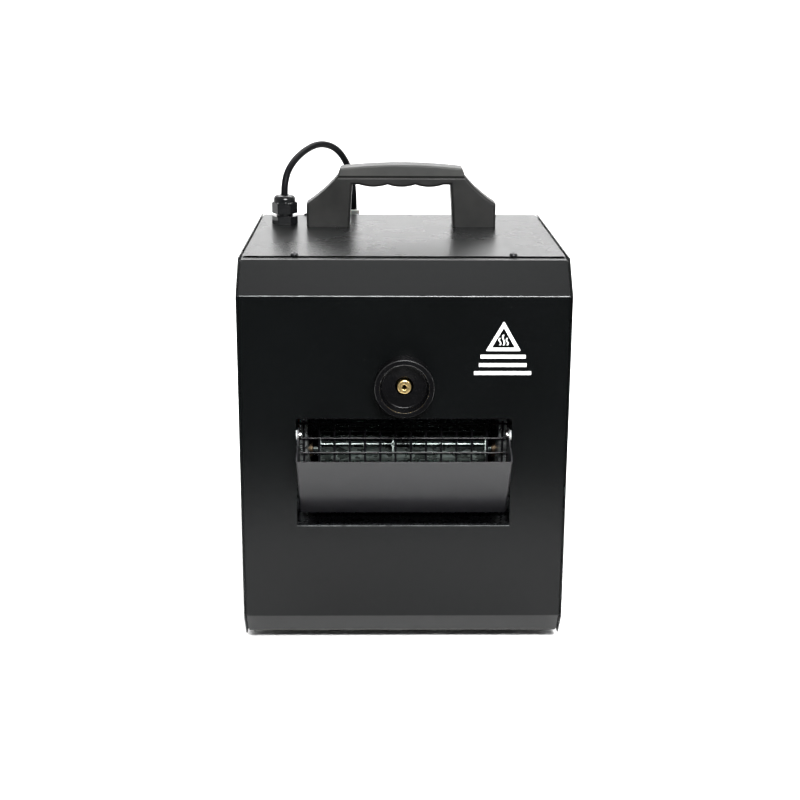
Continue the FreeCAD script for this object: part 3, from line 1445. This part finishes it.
def make_tank():
    """A blow-moulded tank standing in a steel tray, with a filler neck and a hose boss on top."""
    def shape(label, less):
        path = [
            (f"-tank_left + {less}", f"{TANK_NEAR} + {less}"),
            (f"-tank_left + {less}", f"{TANK_FAR} - {less}"),
            (f"tank_right - {less}", f"{TANK_FAR} - {less}"),
            (f"tank_right - {less}", f"{TANK_NEAR} + {less}"),
        ]
        body = prism(label, "XY", path, f"tank_top - {TANK_LOW} - 2 * {less}")
        rounded(body, f"tank_round - {less}", lambda edge: True)
        return place(body, (0, 0, f"(tank_top + {TANK_LOW}) / 2"))

    outside, inside = shape("tank_outside", "0"), shape("tank_inside", "tank_wall")
    cap_at = ("-cap_side", f"{FRONT} + cap_back")
    collar_at = ("-collar_side", f"{FRONT} + collar_back")
    neck = rod("tank_neck", "neck_radius", "neck_high + 2", (*cap_at, "tank_top - 2"))
    mouth = rod("tank_mouth", "neck_bore", "neck_high + 10", (*cap_at, "tank_top - 6"))
    hose_hole = rod("tank_hose_hole", "hose_radius + 0.2", "4 * tank_wall",
                    (*collar_at, "tank_top - 2 * tank_wall"))
    keep(cut("fluid_tank", fuse("tank_whole", outside, neck), inside, mouth, hose_hole))

    rim = ("-(tank_left + seam)", "tank_right + seam")
    deep = (f"{TANK_NEAR} - seam", f"{TANK_FAR} + seam")
    tray = box("tray_block", (f"{rim[0]} - sheet", f"{rim[1]} + sheet"),
               (f"{deep[0]} - sheet", f"{deep[1]} + sheet"), (PAN, f"{PAN} + tray_high"))
    keep(cut("tank_tray", tray, box("tray_hollow", rim, deep, (TANK_LOW, f"{PAN} + tray_high + 1"))))

    collar = [
        ("hose_radius + hose_room", 0),
        ("collar_radius + collar_flange", 0),
        ("collar_radius + collar_flange", "collar_foot"),
        ("collar_radius", "collar_foot + collar_step"),
        ("collar_radius", f"{COLLAR_TOP} - tank_top - collar_edge"),
        ("collar_radius - collar_edge", f"{COLLAR_TOP} - tank_top"),
        ("hose_radius + hose_room", f"{COLLAR_TOP} - tank_top"),
    ]
    keep(turned("hose_collar", collar, (*collar_at, "tank_top")))
    keep(rod("dip_tube", "hose_radius", f"{COLLAR_TOP} - {TANK_LOW} - tank_wall - dip_room",
             (*collar_at, f"{TANK_LOW} + tank_wall + dip_room")))

    seal_at = (*cap_at, "tank_top + neck_high")
    seal = [(0, 0), ("neck_radius - 0.5", 0), ("neck_radius - 0.5", "seal_thick"), (0, "seal_thick")]
    keep(turned("cap_seal", seal, seal_at))
    cap = [
        ("neck_radius + cap_room", "cap_lift - neck_high"),
        ("cap_radius", "cap_lift - neck_high"),
        ("cap_radius", "cap_lift + cap_high - neck_high - cap_edge"),
        ("cap_radius - cap_edge", "cap_lift + cap_high - neck_high", "cap_edge"),
        (0, "cap_lift + cap_high - neck_high"),
        (0, "seal_thick"),
        ("neck_radius + cap_room", "seal_thick"),
    ]
    keep(turned("filler_cap", cap, seal_at))


# ---- hoses and pipes ----------------------------------------------------------------------------

def make_tubes():
    """The suction hose from the tank to the pump, in the stretches that the collar and the gland
    divide it into, and the thin pipe from the pump to the heater."""
    front, top = value(FRONT), value(TOP)
    gland = Vector(-value("gland_side"), front + value("gland_back"), 0)
    dome = value(f"{TOP} + gland_base + gland_neck + gland_nut + gland_dome")
    collar = Vector(-value("collar_side"), front + value("collar_back"), value(COLLAR_TOP))
    free_hose = [
        (gland.x, gland.y, dome),
        (gland.x, gland.y, top + 41.1),
        (-113.0, front + 237.0, top + 57.1),
        (-101.0, front + 257.3, top + 69.6),
        (-84.5, front + 280.5, top + 76.6),
        (-67.5, front + 304.5, top + 69.6),
        (-56.0, front + 320.8, top + 51.1),
        (collar.x, collar.y, top + 26.1),
        (collar.x, collar.y, collar.z),
    ]
    radius = value("hose_radius")
    tube("fluid_hose", free_hose, radius)

    pump = Vector(-value("pump_side"), value(PUMP_REAR), value("pump_height"))
    tube("suction_tube", [
        (gland.x, gland.y, dome),
        (gland.x, gland.y, 200),
        (-106, pump.y + 26, 120),
        (-90, pump.y + 30, pump.z + 4),
        (pump.x, pump.y + 6, pump.z),
        (pump.x, pump.y, pump.z),
    ], radius)

    ahead = value(PUMP_FRONT)
    heater = Vector(0, value(HEATER_REAR), value("nozzle_height"))
    tube("pressure_pipe", [
        (pump.x, ahead, pump.z),
        (pump.x, ahead - 16, pump.z),
        (pump.x - 12, ahead - 18, pump.z + 24),
        (-103, ahead - 8, 130),
        (-102, ahead + 30, 210),
        (-92, heater.y - 40, 262),
        (-62, heater.y + 22, 282),
        (-24, heater.y + 38, 272),
        (0, heater.y + 26, heater.z),
        (0, heater.y, heater.z),
    ], value("tube_radius"))


# ---- the machine --------------------------------------------------------------------------------

make_front_panel()
make_top_panel()
make_side_panel("side_panel_left", "-")
make_side_panel("side_panel_right", "+")
make_base_pan()
make_panel_screws()
make_feet()
make_rear_panel()
make_control_board()
make_sockets()
make_power_rocker()
make_handle()
make_gland()
make_nozzle()
make_guard()
make_deflector()
make_blower()
make_rotor()
make_heater()
make_pump()
make_boards()
make_tank()
make_tubes()
doc.recompute()

for thing in doc.Objects:
    if "Invalid" in thing.State or "Error" in thing.State:
        raise RuntimeError(f"{thing.Label} failed: {thing.State}")
for piece in pieces:
    if piece.Shape.isNull() or not piece.Shape.isValid() or not piece.Shape.Solids:
        raise RuntimeError(f"{piece.Label} has no valid shape")
for piece in pieces:
    piece.Shape.exportStep(f"parts/{piece.Label}.step")
print(len(pieces), "pieces")
